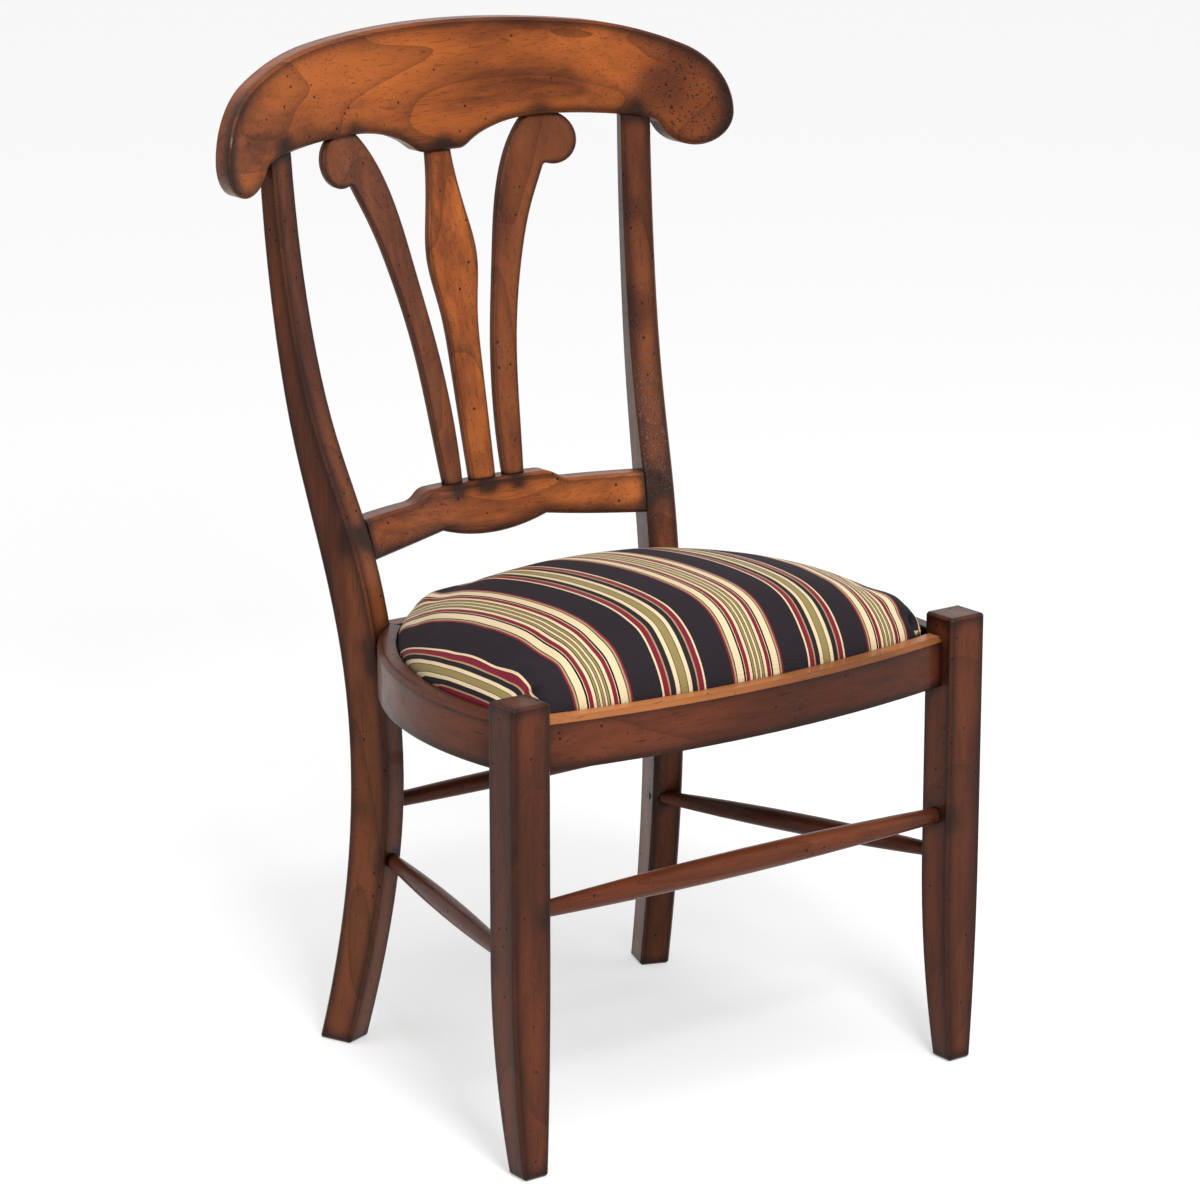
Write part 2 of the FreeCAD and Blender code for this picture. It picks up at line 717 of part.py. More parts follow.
def side_splat_prism():
    """Outline of the right splat: it leans outwards and ends in a round head under the crest."""
    rise = crest_under - splat_low
    foot_in = xz(side_splat_foot_in, splat_low)
    foot_out = xz(side_splat_foot_in + side_splat_foot, splat_low)
    head = xz(side_splat_head_out, crest_under - side_splat_head_drop)

    def on_head(degrees):
        angle = math.radians(degrees)
        return head + V(math.cos(angle), 0, math.sin(angle)) * side_splat_head

    notch = on_head(side_splat_notch)
    flare = foot_in + V(side_splat_flare, 0, rise)
    inner = [foot_in + V(side_splat_flare * run, 0, rise * share) for share, run in side_splat_inner]
    outer = [foot_out + V((notch.x - foot_out.x) * run, 0, (notch.z - splat_low) * share)
             for share, run in side_splat_outer]
    past = crest_under + splat_tenon
    head_end = on_head(side_splat_head_end)
    over_in = xz(flare.x, past)
    over_out = xz(head_end.x, past)
    edges = [line(foot_in, foot_out), spline([foot_out] + outer + [notch]).toShape(),
             arc(notch, on_head((side_splat_notch - 360 + side_splat_head_end) / 2), head_end),
             line(head_end, over_out), line(over_out, over_in), line(over_in, flare),
             spline([foot_in] + inner + [flare]).toShape()]
    prism = face(edges).extrude(V(0, big, 0))
    sharp = [edge for edge in prism.Edges if edge.Vertexes[0].Point.isEqual(notch, 0.01)
             or edge.Vertexes[-1].Point.isEqual(notch, 0.01)]
    return prism.makeFillet(side_splat_notch_radius, [edge for edge in sharp if depthwise(edge)])


def tenon_bar(x0, x1, z0, z1, grow):
    bar = Part.makeBox(x1 - x0 + 2 * grow, big, z1 - z0, V(x0 - grow, -big / 4, z0))
    return bar.common(splat_slab(grow - splat_tenon_cheek))


def splat_tenons(grow=0.0, extra=0.0):
    """Tenons of the centre splat and of the right splat, each with one below and one above."""
    lap = splat_tenon_shoulder
    reach = splat_tenon + extra
    foot = centre_splat_foot / 2 - splat_tenon_shoulder
    neck = centre_splat_neck / 2 - splat_tenon_shoulder
    side_foot = (side_splat_foot_in + splat_tenon_shoulder,
                 side_splat_foot_in + side_splat_foot - splat_tenon_shoulder)
    side_head = (side_splat_foot_in + side_splat_flare + splat_tenon_shoulder,
                 side_splat_head_out - splat_tenon_shoulder)
    centre = [tenon_bar(-foot, foot, splat_low - reach, splat_low + lap, grow),
              tenon_bar(-neck, neck, splat_high - lap, splat_high + reach, grow)]
    side = [tenon_bar(*side_foot, splat_low - reach, splat_low + lap, grow),
            tenon_bar(*side_head, crest_under - lap, crest_under + reach, grow)]
    return centre, side


def splat_mortises():
    centre, side = splat_tenons(fit, hole_end)
    return centre + side + [mirrored(hole) for hole in side]


def runs_up(edge):
    """True for the long edges of a splat, not those at its ends or through its thickness."""
    box = edge.BoundBox
    return box.ZLength > 1 and box.ZMin < crest_under - side_splat_head and not depthwise(edge)


def splat(prism, tenons):
    body = main_solid(prism.common(splat_slab()).cut(crest_seat_space()))
    body = eased_edges(body, splat_edge, runs_up)
    for tenon in tenons:
        body = body.fuse(tenon)
    return body.removeSplitter()


def crest_seat_space():
    """The crest's outline through the whole depth, lowered by the glue line."""
    space = outline_prism(crest_outline())
    space.translate(UP * -glue_gap)
    return space


# Drop-in seat
def seat_corners(inset):
    """Front and rear corner on the right of the seat's plan before rounding, its front and side radius."""
    fr = front_radius - rail_lip - inset
    sr = side_radius - rail_lip - inset
    rear = rear_front + rail_thickness - rail_lip - inset
    gap = side_centre - front_centre
    along = (fr ** 2 - sr ** 2 + gap.dot(gap)) / (2 * gap.Length)
    aside = math.sqrt(fr ** 2 - along ** 2)
    way = gap.normalize()
    corner = front_centre + way * along + V(-way.y, way.x, 0) * aside
    return corner, V(on_circle_x(side_centre, sr, rear), rear, 0), fr, sr


def seat_wire(inset, z):
    """Plan of the seat at one height, from the rails' lips inwards by inset."""
    corner, rear_corner, fr, sr = seat_corners(inset)
    front_angle = math.atan2(corner.y - front_centre.y, corner.x - front_centre.x)
    side_angle = math.atan2(corner.y - side_centre.y, corner.x - side_centre.x)
    rear_angle = math.atan2(rear_corner.y - side_centre.y, rear_corner.x - side_centre.x)
    a = polar(front_centre, fr, front_angle - seat_front_corner / fr, z)
    b = polar(side_centre, sr, side_angle + seat_front_corner / sr, z)
    c = polar(side_centre, sr, rear_angle - seat_rear_corner / sr, z)
    d = V(rear_corner.x - seat_rear_corner, rear_corner.y, z)
    b_c = polar(side_centre, sr, (side_angle + rear_angle) / 2, z)
    half = [corner_arc(a, corner + UP * z, b), arc(b, b_c, c), corner_arc(c, rear_corner + UP * z, d)]
    edges = half + [mirrored(edge) for edge in half]
    edges.append(arc(a, V(0, front_centre.y - fr, z), V(-a.x, a.y, z)))
    edges.append(line(d, V(-d.x, d.y, z)))
    return Part.Wire(Part.__sortEdges__(edges))


def corner_arc(a, corner, b):
    """Arc that rounds the near square corner between a and b."""
    return arc(a, corner + ((a + b) * 0.5 - corner) * (2 - math.sqrt(2)), b)


def seat_form(bottom):
    """Cushion form: drawn in at the rails, full above them and crowned on top."""
    wires = [seat_wire(seat_gap, bottom)]
    wires += [seat_wire(inset, rail_top + share * seat_crown) for inset, share in seat_layers]
    sides = Part.makeLoft(wires, True, True)
    middle = (front_centre.y - front_radius + rear_front + rail_thickness) / 2
    low = V(0, middle - seat_crown_forward, rail_top + seat_crown - seat_dome)
    dome = Part.makeSphere(seat_dome, low, V(0, 1, 0))
    return sides.common(dome)


def seat_plate(inset, bottom, thickness):
    return Part.Face(seat_wire(seat_gap + inset, bottom)).extrude(UP * thickness)


def foam_slab(grow, bottom, thickness):
    """The foam is cut straight along its four sides."""
    front, rear = seat_corners(seat_gap + foam_inset - grow)[:2]
    plan = [V(-front.x, front.y, bottom), V(front.x, front.y, bottom),
            V(rear.x, rear.y, bottom), V(-rear.x, rear.y, bottom)]
    return Part.Face(Part.makePolygon(plan + plan[:1])).extrude(UP * thickness)


def slip_seat():
    bottom = ledge + seat_rest_gap
    board_bottom = bottom + seat_cover_thickness
    board_top = board_bottom + seat_board_thickness
    inside = seat_cover_thickness + cover_ease
    cover = seat_form(bottom)
    cover = cover.cut(foam_slab(cover_ease, board_top, foam_thickness + cover_ease))
    cover = cover.cut(seat_plate(seat_cover_thickness, board_bottom, seat_board_thickness))
    cover = cover.cut(seat_plate(seat_cover_margin, bottom - 1, seat_cover_thickness + 2))
    return {"seat_cover": cover,
            "seat_board": seat_plate(inside, board_bottom, seat_board_thickness),
            "seat_foam": foam_slab(0, board_top, foam_thickness),
            "dust_cover": seat_plate(dust_cover_inset, bottom - dust_cover_thickness, dust_cover_thickness)}


def group(solids):
    return Part.makeCompound(solids)


def pair(name, right):
    return {name + "_left": mirrored(right), name + "_right": right}


def pieces():
    nodes = {}
    nodes.update(pair("front_leg", front_leg()))
    nodes.update(pair("rear_post", rear_post()))
    nodes["crest_rail"] = crest_rail()
    nodes["lower_back_rail"] = lower_back_rail()
    centre, side = splat_tenons()
    nodes["splat_center"] = splat(centre_splat_prism(), centre)
    nodes.update(pair("splat", splat(side_splat_prism(), side)))
    nodes["seat_rail_front"] = front_rail()
    nodes["seat_rail_rear"] = rear_rail()
    nodes.update(pair("seat_rail", side_rail()))
    nodes["stretcher_front"] = stretcher(*front_run, front_stretcher_mid, front_stretcher_end)
    nodes["stretcher_rear"] = stretcher(*rear_run, rear_stretcher_mid, rear_stretcher_end)
    nodes.update(pair("stretcher", stretcher(*side_run, side_stretcher_mid, side_stretcher_end)))
    front, rear = block_faces()
    nodes.update(pair("corner_block_front", corner_block(front)))
    nodes.update(pair("corner_block_rear", corner_block(rear)))
    nodes.update(slip_seat())
    return nodes


def main():
    nodes = pieces()
    box = group(list(nodes.values())).optimalBoundingBox()
    shift = V(0, -(box.YMin + box.YMax) / 2, 0)
    os.makedirs("parts", exist_ok=True)
    for name, shape in nodes.items():
        shape.translate(shift)
        shape.exportStep("parts/" + name + ".step")


main()
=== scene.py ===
import math

import bmesh
import bpy
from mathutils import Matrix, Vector


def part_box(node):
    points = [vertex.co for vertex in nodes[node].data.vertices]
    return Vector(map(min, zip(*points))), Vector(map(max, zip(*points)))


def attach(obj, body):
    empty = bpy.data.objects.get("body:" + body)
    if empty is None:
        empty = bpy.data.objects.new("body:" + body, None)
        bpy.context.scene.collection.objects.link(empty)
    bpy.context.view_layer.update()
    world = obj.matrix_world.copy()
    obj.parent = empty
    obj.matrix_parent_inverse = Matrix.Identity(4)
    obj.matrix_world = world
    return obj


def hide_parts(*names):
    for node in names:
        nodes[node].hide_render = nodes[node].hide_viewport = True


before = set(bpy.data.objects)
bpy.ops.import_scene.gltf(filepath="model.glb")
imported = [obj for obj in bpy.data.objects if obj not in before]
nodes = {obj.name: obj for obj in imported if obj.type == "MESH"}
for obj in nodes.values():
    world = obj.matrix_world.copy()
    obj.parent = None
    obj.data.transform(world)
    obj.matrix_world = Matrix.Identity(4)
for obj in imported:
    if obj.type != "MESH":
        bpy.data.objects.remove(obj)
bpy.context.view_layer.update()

# Camera of the photograph: place and sight in metres, angles in degrees, lens and sensor in millimetres
camera_place = (-2.45465, -3.29557, 1.54204)
camera_sight = 100.0
camera_pitch = 14.922
camera_yaw = 36.801
camera_lens = 133.29
camera_sensor = 36.0

# Seat cushion: lengths in metres
cushion_voxel = 0.006
cushion_shrink = 0.004
cushion_cap = 0.007
foam_clearance = 0.011
board_clearance = 0.0014

# Seat cushion: heights above the rails over which softening and swelling come in, in metres
soften_rise = 0.012
swell_rise = 0.015

# Seat cushion: the simulated cloth, and the strength and rounds of smoothing
cushion_pressure = 4.0
cushion_stiffness = 12.0
cushion_bending = 2.0
cushion_frames = 20
cushion_smooth = 0.5
cushion_round = 4
cushion_even = 10

# Lay of the stripes: the height where the cover turns down, the length of the turn and the waver of the
# threads in metres, rounds of evening out, and the least squared plan length of a normal in use
cover_shoulder = 0.450
cover_bend = 0.008
stripe_waver = 0.0005
stripe_even = 25
least_plan = 0.01

# Colours of the seat cover's yarns, of the shade between threads and of the light on thick ones
ground = (0.022, 0.017, 0.021)
black = (0.007, 0.005, 0.006)
cream = (0.80, 0.64, 0.40)
tan = (0.42, 0.28, 0.15)
olive = (0.30, 0.23, 0.09)
burgundy = (0.20, 0.016, 0.032)
weave_shade = (0.0, 0.0, 0.0, 1)
slub_light = (0.9, 0.85, 0.75, 1)
slub_stretch = (1.0, 0.05, 0.3)

# Sheen of the yarns, as a mask
matt = (0.0, 0.0, 0.0)
satin = (1.0, 1.0, 1.0)
matt_yarns = (ground, black)

# Stripes from the middle of the wide group to the middle of the narrow one: where each ends, in millimetres
half_pattern = ((0.9, olive), (1.5, black), (3.5, cream), (4.1, black), (6.2, olive), (7.1, black),
                (10.0, cream), (14.2, burgundy), (15.0, cream), (16.8, black), (24.5, cream), (25.6, black),
                (27.6, tan), (29.5, burgundy), (60.4, ground), (62.4, cream), (67.9, burgundy), (69.6, tan),
                (75.2, ground), (79.4, cream), (80.2, black), (84.25, olive))

# Middle of the wide group, and from there to the middle of the narrow one, in metres
stripe_middle = 0.0073
stripe_half = half_pattern[-1][0] / 1000

# Frame finish, in metres: widths of the dark edge and of the rounded arris, reach of the painted shade in
# corners, depth of relief
edge_glaze_width = 0.018
thin_glaze_width = 0.007
edge_round = 0.0030
corner_shade_reach = 0.020
wood_relief = 0.0012
edge_samples = 6

# Grain: scale along it as a share of the scale across it, and how far each seed moves it, in metres
fibre_stretch = 0.07
board_stretch = 0.22
bare_stretch = 0.08
seed_step = (0.37, 0.61, 0.23)

# Stains of the frame, each a light and a deep colour; the second pair is the red made brighter, painted
# light for parts that face up towards the lamps
red = ((0.470, 0.122, 0.024, 1), (0.085, 0.020, 0.007, 1))
lit_red = ((0.640, 0.180, 0.036, 1), (0.180, 0.043, 0.012, 1))
russet = ((0.230, 0.066, 0.021, 1), (0.064, 0.016, 0.008, 1))
brown = ((0.160, 0.041, 0.015, 1), (0.058, 0.015, 0.007, 1))

# Colours of figure, pores and glaze (the glaze colour also paints the shade into corners), and the painted
# light on the top of the front rail
wood_figure = (0.052, 0.015, 0.007, 1)
wood_pore = (0.026, 0.009, 0.005, 1)
glaze_and_shade = (0.009, 0.004, 0.003, 1)
# Painted light on the front rail's top, where it faces up to the lamps
rail_top_light = (0.520, 0.190, 0.060, 1)

# Heavily worn spots: place and reach in metres, and the share of the reach that is worn through
right_lobe = (((0.232, 0.193, 0.900), 0.035), ((0.270, 0.173, 0.898), 0.105))
right_post_edge = (((0.188, 0.184, 0.678), 0.034), ((0.195, 0.200, 0.776), 0.022))
spot_core = 0.3

# Materials under the seat, each a light and a deep colour, and the lint on the dust cover
block_tones = ((0.46, 0.31, 0.16, 1), (0.33, 0.20, 0.09, 1))
plywood_tones = ((0.55, 0.40, 0.22, 1), (0.40, 0.26, 0.13, 1))
foam_tones = ((0.78, 0.70, 0.46, 1), (0.55, 0.47, 0.26, 1))
cloth_tones = ((0.030, 0.030, 0.032, 1), (0.006, 0.006, 0.007, 1))
zinc_tones = ((0.62, 0.61, 0.58, 1), (0.42, 0.40, 0.34, 1))
cloth_lint = (0.045, 0.044, 0.043, 1)

# Screws in the corner blocks, in metres: rings of the head as shares of its radius, each with a lift, and
# the cross recess, its arms and notches as shares of the same radius
block_ends = ("front_left", "front_right", "rear_left", "rear_right")
screw_head = 0.0042
screw_sides = 20
screw_rings = ((1.0, 0.0002), (0.93, 0.0007), (0.62, 0.0009))
recess_arms = 4
recess_arm = 0.52
recess_notch = 0.2
recess_depth = 0.0004

# Staples of the dust cover, in metres: the route of the wire as shares of the width, each with a height
staple_step = 0.024
staple_inset = 0.006
staple_width = 0.010
staple_wire = 0.0006
staple_sides = 6
staple_route = ((-0.5, 0.0002), (-0.48, -0.0006), (-0.4, -0.0008),
                (0.4, -0.0008), (0.48, -0.0006), (0.5, 0.0002))

# How near to a height a point counts as on it, in metres, and digits that tell two points of a plan apart
block_slack = 0.0005
cover_slack = 0.0002
plan_digits = 5

# Stage: the floor in metres, its grey, the white it adds for the camera, and the world's light
floor_half = 14.0
floor_drop = 0.0006
floor_grey = (0.60, 0.60, 0.60, 1)
floor_white = 0.50
world_light = 0.22
white = (1, 1, 1, 1)

# Overhead sun: strength, and spread and tilt in degrees
sun_strength = 1.6
sun_spread = 50.0
sun_tilt = (14.0, -8.0)

# Softboxes: name, place and size in metres and power in watts, and the place that all of them face
softboxes = (("key_softbox", (-1.0, -2.7, 2.6), (0.9, 0.9), 88.0),
             ("right_fill", (2.6, -1.8, 1.7), (1.2, 1.8), 8.0),
             ("left_strip", (-2.9, 0.4, 1.5), (0.25, 1.6), 3.0))
softbox_aim = (0, 0, 0.5)


class Nodes:
    """Short way to make and join shader nodes in one material."""

    def __init__(self, name):
        self.material = bpy.data.materials.new(name)
        self.material.use_nodes = True
        self.tree = self.material.node_tree
        self.shader = self.tree.nodes["Principled BSDF"]

    def make(self, kind, inputs=None, **settings):
        made = self.tree.nodes.new("ShaderNode" + kind)
        for key, value in settings.items():
            setattr(made, key, value)
        for key, value in (inputs or {}).items():
            self.feed(made.inputs[key], value)
        return made

    def feed(self, socket, value):
        if isinstance(value, bpy.types.NodeSocket):
            self.tree.links.new(value, socket)
        else:
            socket.default_value = value

    def set(self, **values):
        for key, value in values.items():
            self.feed(self.shader.inputs[key.replace("_", " ")], value)

    def math(self, operation, a, b=0.0, clamp=False):
        made = self.make("Math", operation=operation, use_clamp=clamp)
        self.feed(made.inputs[0], a)
        self.feed(made.inputs[1], b)
        return made.outputs[0]

    def times(self, a, b):
        return self.math("MULTIPLY", a, b)

    def plus(self, a, b):
        return self.math("ADD", a, b)

    def either(self, a, b):
        return self.math("MAXIMUM", a, b)

    def rest(self, value):
        """What is left of 1."""
        return self.math("SUBTRACT", 1.0, value)

    def window(self, value, low, high):
        """0 below low, 1 above high, eased between."""
        made = self.make("MapRange", {"Value": value, "From Min": low, "From Max": high},
                         interpolation_type="SMOOTHSTEP")
        return made.outputs["Result"]

    def fade(self, value, low, high):
        """1 below low, 0 above high, eased between."""
        return self.rest(self.window(value, low, high))

    def mix(self, factor, a, b, blend="MIX"):
        made = self.make("Mix", data_type="RGBA", blend_type=blend)
        self.feed(made.inputs["Factor"], factor)
        self.feed(made.inputs[6], a)
        self.feed(made.inputs[7], b)
        return made.outputs[2]

    def tint(self, colour, other, mask, share, blend="MIX"):
        """Colour drawn towards another where the mask is, by a share of the mask."""
        return self.mix(self.times(mask, share), colour, other, blend)

    def bands(self, factor, stops):
        """Plain colours side by side, each from its own place on."""
        made = self.make("ValToRGB", {"Fac": factor})
        ramp = made.color_ramp
        ramp.interpolation = "CONSTANT"
        while len(ramp.elements) < len(stops):
            ramp.elements.new(1.0)
        for element, (place, colour) in zip(ramp.elements, stops):
            element.position = place
            element.color = (*colour, 1.0)
        return made.outputs["Color"]

    def place(self):
        return self.make("TexCoord").outputs["Object"]

    def coords(self, scale=(1, 1, 1), offset=(0, 0, 0)):
        made = self.make("Mapping", {"Vector": self.place(), "Scale": scale, "Location": offset})
        return made.outputs["Vector"]

    def noise(self, vector, scale, detail=3.0, rough=0.5, warp=0.0):
        made = self.make("TexNoise", {"Vector": vector, "Scale": scale, "Detail": detail,
                                      "Roughness": rough, "Distortion": warp})
        return made.outputs["Fac"]

    def cells(self, vector, scale):
        """Distance to the nearest of many scattered points."""
        return self.make("TexVoronoi", {"Vector": vector, "Scale": scale}).outputs["Distance"]

    def ribs(self, vector, scale, warp, direction):
        made = self.make("TexWave", {"Vector": vector, "Scale": scale, "Distortion": warp, "Detail": 1.0},
                         bands_direction=direction)
        return made.outputs["Fac"]

    def facing(self):
        return self.make("NewGeometry").outputs["Normal"]

    def rounded(self, radius):
        """Normals of the piece with its edges rounded."""
        return self.make("Bevel", {"Radius": radius}, samples=edge_samples).outputs["Normal"]

    def bump(self, height, strength, depth, base=None):
        made = self.make("Bump", {"Height": height, "Strength": strength, "Distance": depth})
        if base is not None:
            self.feed(made.inputs["Normal"], base)
        return made.outputs["Normal"]


def along(axis, stretch):
    """Scale for coordinates that are stretched along one axis."""
    return tuple(stretch if letter == axis else 1.0 for letter in "XYZ")


def marks(n, plain, fibre):
    """Distressing all over the wood: pin holes, fine flecks and short cuts along the grain."""
    holes = n.fade(n.cells(plain, scale=75.0), 0.08, 0.14)
    holes = n.times(holes, n.window(n.noise(plain, scale=24.0, detail=2.0), 0.46, 0.54))
    flecks = n.fade(n.cells(plain, scale=240.0), 0.10, 0.24)
    flecks = n.times(flecks, n.window(n.noise(plain, scale=33.0, detail=2.0), 0.45, 0.54))
    cuts = n.window(n.noise(fibre, scale=260.0, detail=2.0, rough=0.4), 0.70, 0.76)
    cuts = n.times(cuts, n.window(n.noise(plain, scale=17.0, detail=2.0), 0.50, 0.62))
    return n.either(holes, n.times(n.either(flecks, cuts), 0.7))


def near_place(n, place, reach):
    """1 at one place on the piece, falling to 0 at the reach."""
    away = n.make("VectorMath", operation="DISTANCE")
    n.feed(away.inputs[0], n.place())
    n.feed(away.inputs[1], place)
    return n.fade(away.outputs["Value"], reach * spot_core, reach)


def chipped(n, plain):
    """Crowded chips and pits of a heavily worn spot."""
    chips = n.fade(n.noise(plain, scale=230.0, detail=4.0, rough=0.65, warp=0.8), 0.33, 0.42)
    pits = n.fade(n.cells(plain, scale=190.0), 0.14, 0.26)
    return n.either(chips, pits)


def near_edge(n, width):
    """1 on the arrises of the piece, falling to 0 on its flats."""
    meet = n.make("VectorMath", operation="DOT_PRODUCT")
    n.feed(meet.inputs[0], n.rounded(width))
    n.feed(meet.inputs[1], n.facing())
    sharp = n.fade(meet.outputs["Value"], 0.84, 0.999)
    inner = n.make("AmbientOcclusion", {"Distance": width}, samples=edge_samples,
                   inside=True, only_local=True)
    broad = n.fade(inner.outputs["AO"], 0.35, 0.95)
    return n.either(sharp, broad)


def shade_in_corners(n):
    """Painted shade: 1 deep in the corners between pieces, 0 in the open."""
    outer = n.make("AmbientOcclusion", {"Distance": corner_shade_reach}, samples=edge_samples)
    return n.fade(outer.outputs["AO"], 0.20, 0.80)


def wood_grain(n, fibre, board, light, deep):
    """Colour of the stained wood, and masks of its blotches and pores."""
    blotch = n.window(n.noise(board, scale=13.0, detail=4.0, rough=0.6, warp=0.3), 0.34, 0.68)
    streak = n.window(n.noise(fibre, scale=150.0, detail=4.0, rough=0.6), 0.34, 0.70)
    growth = n.times(n.noise(board, scale=7.0, detail=1.5, rough=0.4, warp=0.1), 9.0)
    figure = n.math("POWER", n.math("FRACT", growth), 6.0)
    pores = n.window(n.noise(fibre, scale=620.0, detail=2.0), 0.55, 0.70)
    colour = n.mix(blotch, deep, light)
    colour = n.tint(colour, light, streak, share=0.22)
    colour = n.tint(colour, wood_figure, figure, share=0.50)
    colour = n.tint(colour, wood_pore, pores, share=0.40)
    return colour, blotch, pores


def frame_wood(name, axis, stain, seed, worn_spots=(), lit_top=None, glaze=edge_glaze_width):
    """Stained and glazed cherry: grain, distressing, dark rubbed edges and a lacquer, with painted shade in
    the corners between pieces and, where asked, painted light on the faces turned up.
    """
    n = Nodes(name)
    light, deep = stain
    shift = tuple(seed * step for step in seed_step)
    plain = n.coords(offset=shift)
    fibre = n.coords(along(axis, fibre_stretch), shift)
    board = n.coords(along(axis, board_stretch), shift)
    colour, blotch, pores = wood_grain(n, fibre, board, light, deep)
    nook_shade = shade_in_corners(n)
    edge = near_edge(n, glaze)

    # Painted light: faces turned up are drawn towards a lighter colour and keep less of the painted shade
    # and dark edge
    if lit_top:
        height = n.make("SeparateXYZ", {"Vector": n.facing()}).outputs["Z"]
        lit_upward = n.window(height, 0.45, 0.85)
        colour = n.mix(n.times(lit_upward, n.window(blotch, -0.8, 1.0)), colour, lit_top)
        kept = n.rest(n.times(lit_upward, 0.85))
        nook_shade = n.times(nook_shade, kept)
        edge = n.times(edge, kept)

    dents = marks(n, plain, fibre)
    for place, reach in worn_spots:
        near = near_place(n, place, reach)
        colour = n.tint(colour, deep, near, share=0.7)
        dents = n.either(dents, n.times(chipped(n, plain), near))
    edge = n.times(edge, n.window(n.noise(plain, scale=26.0, detail=4.0, rough=0.6), 0.05, 0.46))
    colour = n.tint(colour, glaze_and_shade, dents, share=0.9)
    colour = n.tint(colour, glaze_and_shade, edge, share=0.93)
    # Painted shade: the corners between pieces darkened towards the glaze colour
    colour = n.tint(colour, glaze_and_shade, nook_shade, share=0.75)

    relief = n.plus(n.times(pores, -0.25), n.times(dents, -1.0))
    relief = n.plus(relief, n.times(n.noise(plain, scale=16.0, detail=2.0), 0.9))
    normal = n.bump(relief, strength=0.35, depth=wood_relief, base=n.rounded(edge_round))
    rough = n.plus(n.times(n.noise(plain, scale=40.0), 0.18), 0.28)
    rough = n.math("ADD", rough, n.times(dents, 0.3), clamp=True)
    n.set(Base_Color=colour, Roughness=rough, Normal=normal, IOR=1.3, Specular_IOR_Level=0.2)
    n.set(Coat_Normal=normal, Coat_Weight=0.22, Coat_Roughness=0.06, Coat_IOR=1.35)
    return n.material


def bare_wood(name, axis, tones):
    """Unfinished softwood or plywood under the seat."""
    n = Nodes(name)
    light, deep = tones
    fibre = n.coords(along(axis, bare_stretch))
    streak = n.window(n.noise(fibre, scale=160.0, detail=4.0, rough=0.6), 0.35, 0.7)
    cloud = n.window(n.noise(n.coords(), scale=18.0), 0.45, 0.75)
    colour = n.tint(n.mix(streak, light, deep), deep, cloud, share=0.35)
    rough = n.plus(n.times(streak, 0.15), 0.62)
    n.set(Base_Color=colour, Roughness=rough, Normal=n.bump(streak, strength=0.25, depth=0.0006))
    return n.material


def stripes(n, across):
    """Colour of the yarn at a place across the cloth, and a mask of the satin yarns."""
    fold = n.math("PINGPONG", n.math("SUBTRACT", across, stripe_middle), stripe_half)
    share = n.math("DIVIDE", fold, stripe_half)
    ends, yarns = zip(*half_pattern)
    starts = [0.0] + [end / ends[-1] for end in ends[:-1]]
    sheens = [matt if yarn in matt_yarns else satin for yarn in yarns]
    colour = n.bands(share, list(zip(starts, yarns)))
    shiny = n.bands(share, list(zip(starts, sheens)))
    return colour, shiny


def seat_fabric(name):
    """Woven stripes: a matt ground and satin bands, with the weave's ribs and a little slub."""
    n = Nodes(name)
    plain = n.coords()
    across = n.make("Attribute", attribute_name="stripe").outputs["Fac"]
    waver = n.math("SUBTRACT", n.noise(plain, scale=30.0, detail=2.0), 0.5)
    colour, shiny = stripes(n, n.plus(across, n.times(waver, stripe_waver)))
    warp = n.ribs(plain, scale=260.0, warp=0.4, direction="X")
    weft = n.ribs(plain, scale=320.0, warp=0.6, direction="Y")
    weave = n.times(n.plus(warp, weft), 0.5)
    slub = n.noise(n.coords(slub_stretch), scale=420.0, detail=2.0)
    colour = n.tint(colour, weave_shade, weave, share=0.22, blend="MULTIPLY")
    colour = n.tint(colour, slub_light, n.window(slub, 0.45, 0.75), share=0.16, blend="SOFT_LIGHT")
    relief = n.plus(n.times(weave, 0.6), n.times(slub, 0.4))
    normal = n.bump(relief, strength=0.22, depth=0.0005)
    rough = n.math("SUBTRACT", 0.72, n.times(shiny, 0.30))
    rough = n.plus(rough, n.times(weave, 0.08))
    n.set(Base_Color=colour, Roughness=rough, Normal=normal, Specular_IOR_Level=0.08)
    return n.material


def dust_cloth(name):
    """Black spun cloth with matted fibres."""
    n = Nodes(name)
    light, deep = cloth_tones
    plain = n.coords()
    fibres = n.noise(plain, scale=900.0, detail=4.0, rough=0.7, warp=1.5)
    mottle = n.noise(plain, scale=60.0)
    colour = n.mix(n.window(fibres, 0.35, 0.75), deep, light)
    colour = n.tint(colour, cloth_lint, mottle, share=0.3)
    rough = n.plus(n.times(mottle, 0.1), 0.82)
    n.set(Base_Color=colour, Roughness=rough, Normal=n.bump(fibres, strength=0.35, depth=0.0004))
    return n.material


def foam_material(name):
    """Open cells of the seat foam."""
    n = Nodes(name)
    light, deep = foam_tones
    cells = n.cells(n.coords(), scale=420.0)
    colour = n.mix(n.window(cells, 0.1, 0.6), deep, light)
    rough = n.plus(n.times(cells, 0.1), 0.85)
    n.set(Base_Color=colour, Roughness=rough, Normal=n.bump(cells, strength=0.5, depth=0.001))
    return n.material


def zinc(name):
    """Plated steel of the screws and staples."""
    n = Nodes(name)
    light, deep = zinc_tones
    plain = n.coords()
    patches = n.noise(plain, scale=700.0)
    colour = n.mix(patches, deep, light)
    rough = n.plus(n.times(patches, 0.25), 0.25)
    normal = n.bump(n.noise(plain, scale=2500.0, detail=2.0), strength=0.15, depth=0.0002)
    n.set(Base_Color=colour, Metallic=1.0, Roughness=rough, Normal=normal)
    return n.material


def dress(material, *names):
    """Give CAD nodes their finished material."""
    for name in names:
        for place in nodes[name].material_slots:
            place.material = material


